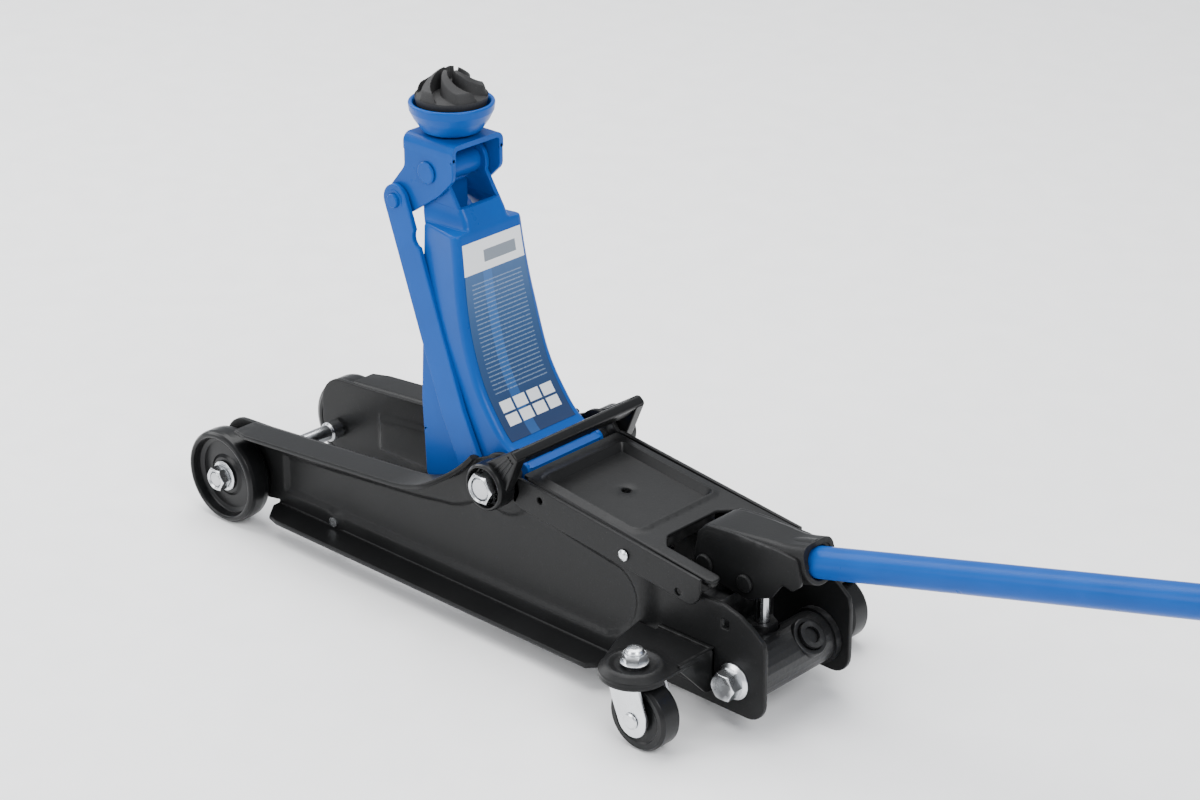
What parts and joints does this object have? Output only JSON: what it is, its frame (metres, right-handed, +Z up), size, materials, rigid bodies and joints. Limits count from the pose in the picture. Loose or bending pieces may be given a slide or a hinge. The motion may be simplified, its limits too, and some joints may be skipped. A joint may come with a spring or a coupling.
{
  "type": "trolley jack",
  "caption": "Compact low-rise hydraulic trolley jack with blue lift arm, swivelling saddle, tray cover, rear casters and pump handle.",
  "frame": {"origin": "on the ground under the middle of the object's box", "axes": "+Z up, +X from the pump handle towards the saddle and front wheels, +Y to the left of someone looking along +X"},
  "size_m": [0.8592, 0.193, 0.3],
  "materials": {
    "frame_black": "satin powder coat",
    "arm_blue": "gloss paint",
    "zinc": "bright zinc plate",
    "bare_steel": "ground and oiled",
    "cast_black": "painted casting",
    "black_plastic": "moulded nylon",
    "black_rubber": "moulded rubber",
    "label_film": null
  },
  "bodies": {
    "frame": {"side_plate_left": "frame_black", "side_plate_right": "frame_black", "cover_plate": "frame_black", "cover_screw_left": "zinc", "cover_screw_right": "zinc", "front_axle": "bare_steel", "front_washer_left": "zinc", "front_washer_right": "zinc", "front_nut_left": "zinc", "front_nut_right": "zinc", "main_pivot_shaft": "bare_steel", "main_pivot_nut_left": "zinc", "main_pivot_nut_right": "zinc", "link_foot_pin_left": "bare_steel", "link_foot_pin_right": "bare_steel", "pump_block": "cast_black", "rear_bolt_left": "zinc", "rear_bolt_right": "zinc", "reservoir_tube": "cast_black", "cylinder_tube": "bare_steel", "ram_gland": "cast_black", "filler_plug": "black_rubber", "return_spring_left": "bare_steel", "return_spring_right": "bare_steel", "pump_gland": "cast_black", "socket_lug": "zinc", "socket_pivot_pin": "frame_black", "caster_bracket_left": "frame_black", "caster_bracket_right": "frame_black", "caster_stem_left": "zinc", "caster_stem_right": "zinc", "tie_rod": "zinc"},
    "arm": {"lift_arm": "arm_blue", "label_plate": "label_film", "saddle_pin": "arm_blue", "ram_pin": "bare_steel"},
    "saddle_head": {"saddle_bracket": "arm_blue", "link_top_pin_left": "arm_blue", "link_top_pin_right": "arm_blue"},
    "saddle": {"saddle_cup": "arm_blue", "saddle_pad": "black_rubber"},
    "parallel_link_left": {"link_left": "arm_blue"},
    "parallel_link_right": {"link_right": "arm_blue"},
    "ram_rod": {"ram": "bare_steel"},
    "socket": {"handle_socket": "frame_black", "piston_pin": "frame_black"},
    "handle": {"handle_tube": "arm_blue", "handle_end_cap": "black_plastic"},
    "piston": {"pump_piston": "bare_steel"},
    "valve": {"release_valve": "bare_steel"},
    "carry": {"carry_handle": "black_plastic"},
    "wheel_front_left": {"front_wheel_left": "black_plastic"},
    "wheel_front_right": {"front_wheel_right": "black_plastic"},
    "caster_left": {"caster_fork_left": "zinc", "caster_axle_left": "zinc"},
    "caster_right": {"caster_fork_right": "zinc", "caster_axle_right": "zinc"},
    "wheel_rear_left": {"caster_wheel_left": "black_plastic"},
    "wheel_rear_right": {"caster_wheel_right": "black_plastic"}
  },
  "joints": [
    {"name": "arm_lift", "type": "hinge", "parent": "frame", "child": "arm", "pos_m": [0.18457, 0, 0.0926], "axis": [0, 1, 0], "range_deg": [0, 72]},
    {"name": "saddle_level", "type": "hinge", "parent": "arm", "child": "saddle_head", "pos_m": [0.25843, 0, 0.24471], "axis": [0, 1, 0], "range_deg": [-72, 0]},
    {"name": "saddle_swivel", "type": "hinge", "parent": "saddle_head", "child": "saddle", "pos_m": [0.25843, 0, 0.28], "axis": [0, 0, 1], "continuous": true},
    {"name": "link_left_turn", "type": "hinge", "parent": "frame", "child": "parallel_link_left", "pos_m": [0.20707, 0.032, 0.072], "axis": [0, 1, 0], "range_deg": [0, 72]},
    {"name": "link_right_turn", "type": "hinge", "parent": "frame", "child": "parallel_link_right", "pos_m": [0.20707, -0.032, 0.072], "axis": [0, 1, 0], "range_deg": [0, 72]},
    {"name": "ram_slide", "type": "slide", "parent": "frame", "child": "ram_rod", "axis": [1, 0, 0], "range_m": [-0.0542, 0], "deforming": ["return_spring_left", "return_spring_right"]},
    {"name": "socket_pump", "type": "hinge", "parent": "frame", "child": "socket", "pos_m": [0.06107, 0, 0.0758], "axis": [0, 1, 0], "range_deg": [-15, 40]},
    {"name": "piston_slide", "type": "slide", "parent": "frame", "child": "piston", "axis": [0, 0, 1], "range_m": [-0.0072, 0.0187]},
    {"name": "handle_pull", "type": "slide", "parent": "socket", "child": "handle", "axis": [-0.9668, 0, 0.2554], "range_m": [0, 0.06]},
    {"name": "valve_turn", "type": "hinge", "parent": "frame", "child": "valve", "pos_m": [0.02157, -0.013, 0.0297], "axis": [-0.7071, 0, 0.7071], "range_deg": [0, 180]},
    {"name": "carry_fold", "type": "hinge", "parent": "frame", "child": "carry", "pos_m": [0.18457, 0, 0.0926], "axis": [0, 1, 0], "range_deg": [-18, 45]},
    {"name": "front_wheel_left_spin", "type": "hinge", "parent": "frame", "child": "wheel_front_left", "pos_m": [0.40107, 0.05, 0.0285], "axis": [0, 1, 0], "continuous": true},
    {"name": "front_wheel_right_spin", "type": "hinge", "parent": "frame", "child": "wheel_front_right", "pos_m": [0.40107, -0.05, 0.0285], "axis": [0, 1, 0], "continuous": true},
    {"name": "caster_left_swivel", "type": "hinge", "parent": "frame", "child": "caster_left", "pos_m": [0.05307, 0.0775, 0.04], "axis": [0, 0, 1], "continuous": true},
    {"name": "caster_right_swivel", "type": "hinge", "parent": "frame", "child": "caster_right", "pos_m": [0.05307, -0.0775, 0.04], "axis": [0, 0, 1], "continuous": true},
    {"name": "caster_left_spin", "type": "hinge", "parent": "caster_left", "child": "wheel_rear_left", "pos_m": [0.04557, 0.0775, 0.0189], "axis": [0, 1, 0], "continuous": true},
    {"name": "caster_right_spin", "type": "hinge", "parent": "caster_right", "child": "wheel_rear_right", "pos_m": [0.04557, -0.0775, 0.0189], "axis": [0, 1, 0], "continuous": true}
  ],
  "couplings": [
    {"joint": "saddle_level", "follows": "arm_lift", "ratio": -1},
    {"joint": "link_left_turn", "follows": "arm_lift", "ratio": 1},
    {"joint": "link_right_turn", "follows": "arm_lift", "ratio": 1},
    {"joint": "ram_slide", "follows": "arm_lift", "m_per_rad": -0.04303},
    {"joint": "piston_slide", "follows": "socket_pump", "m_per_rad": 0.0265}
  ]
}
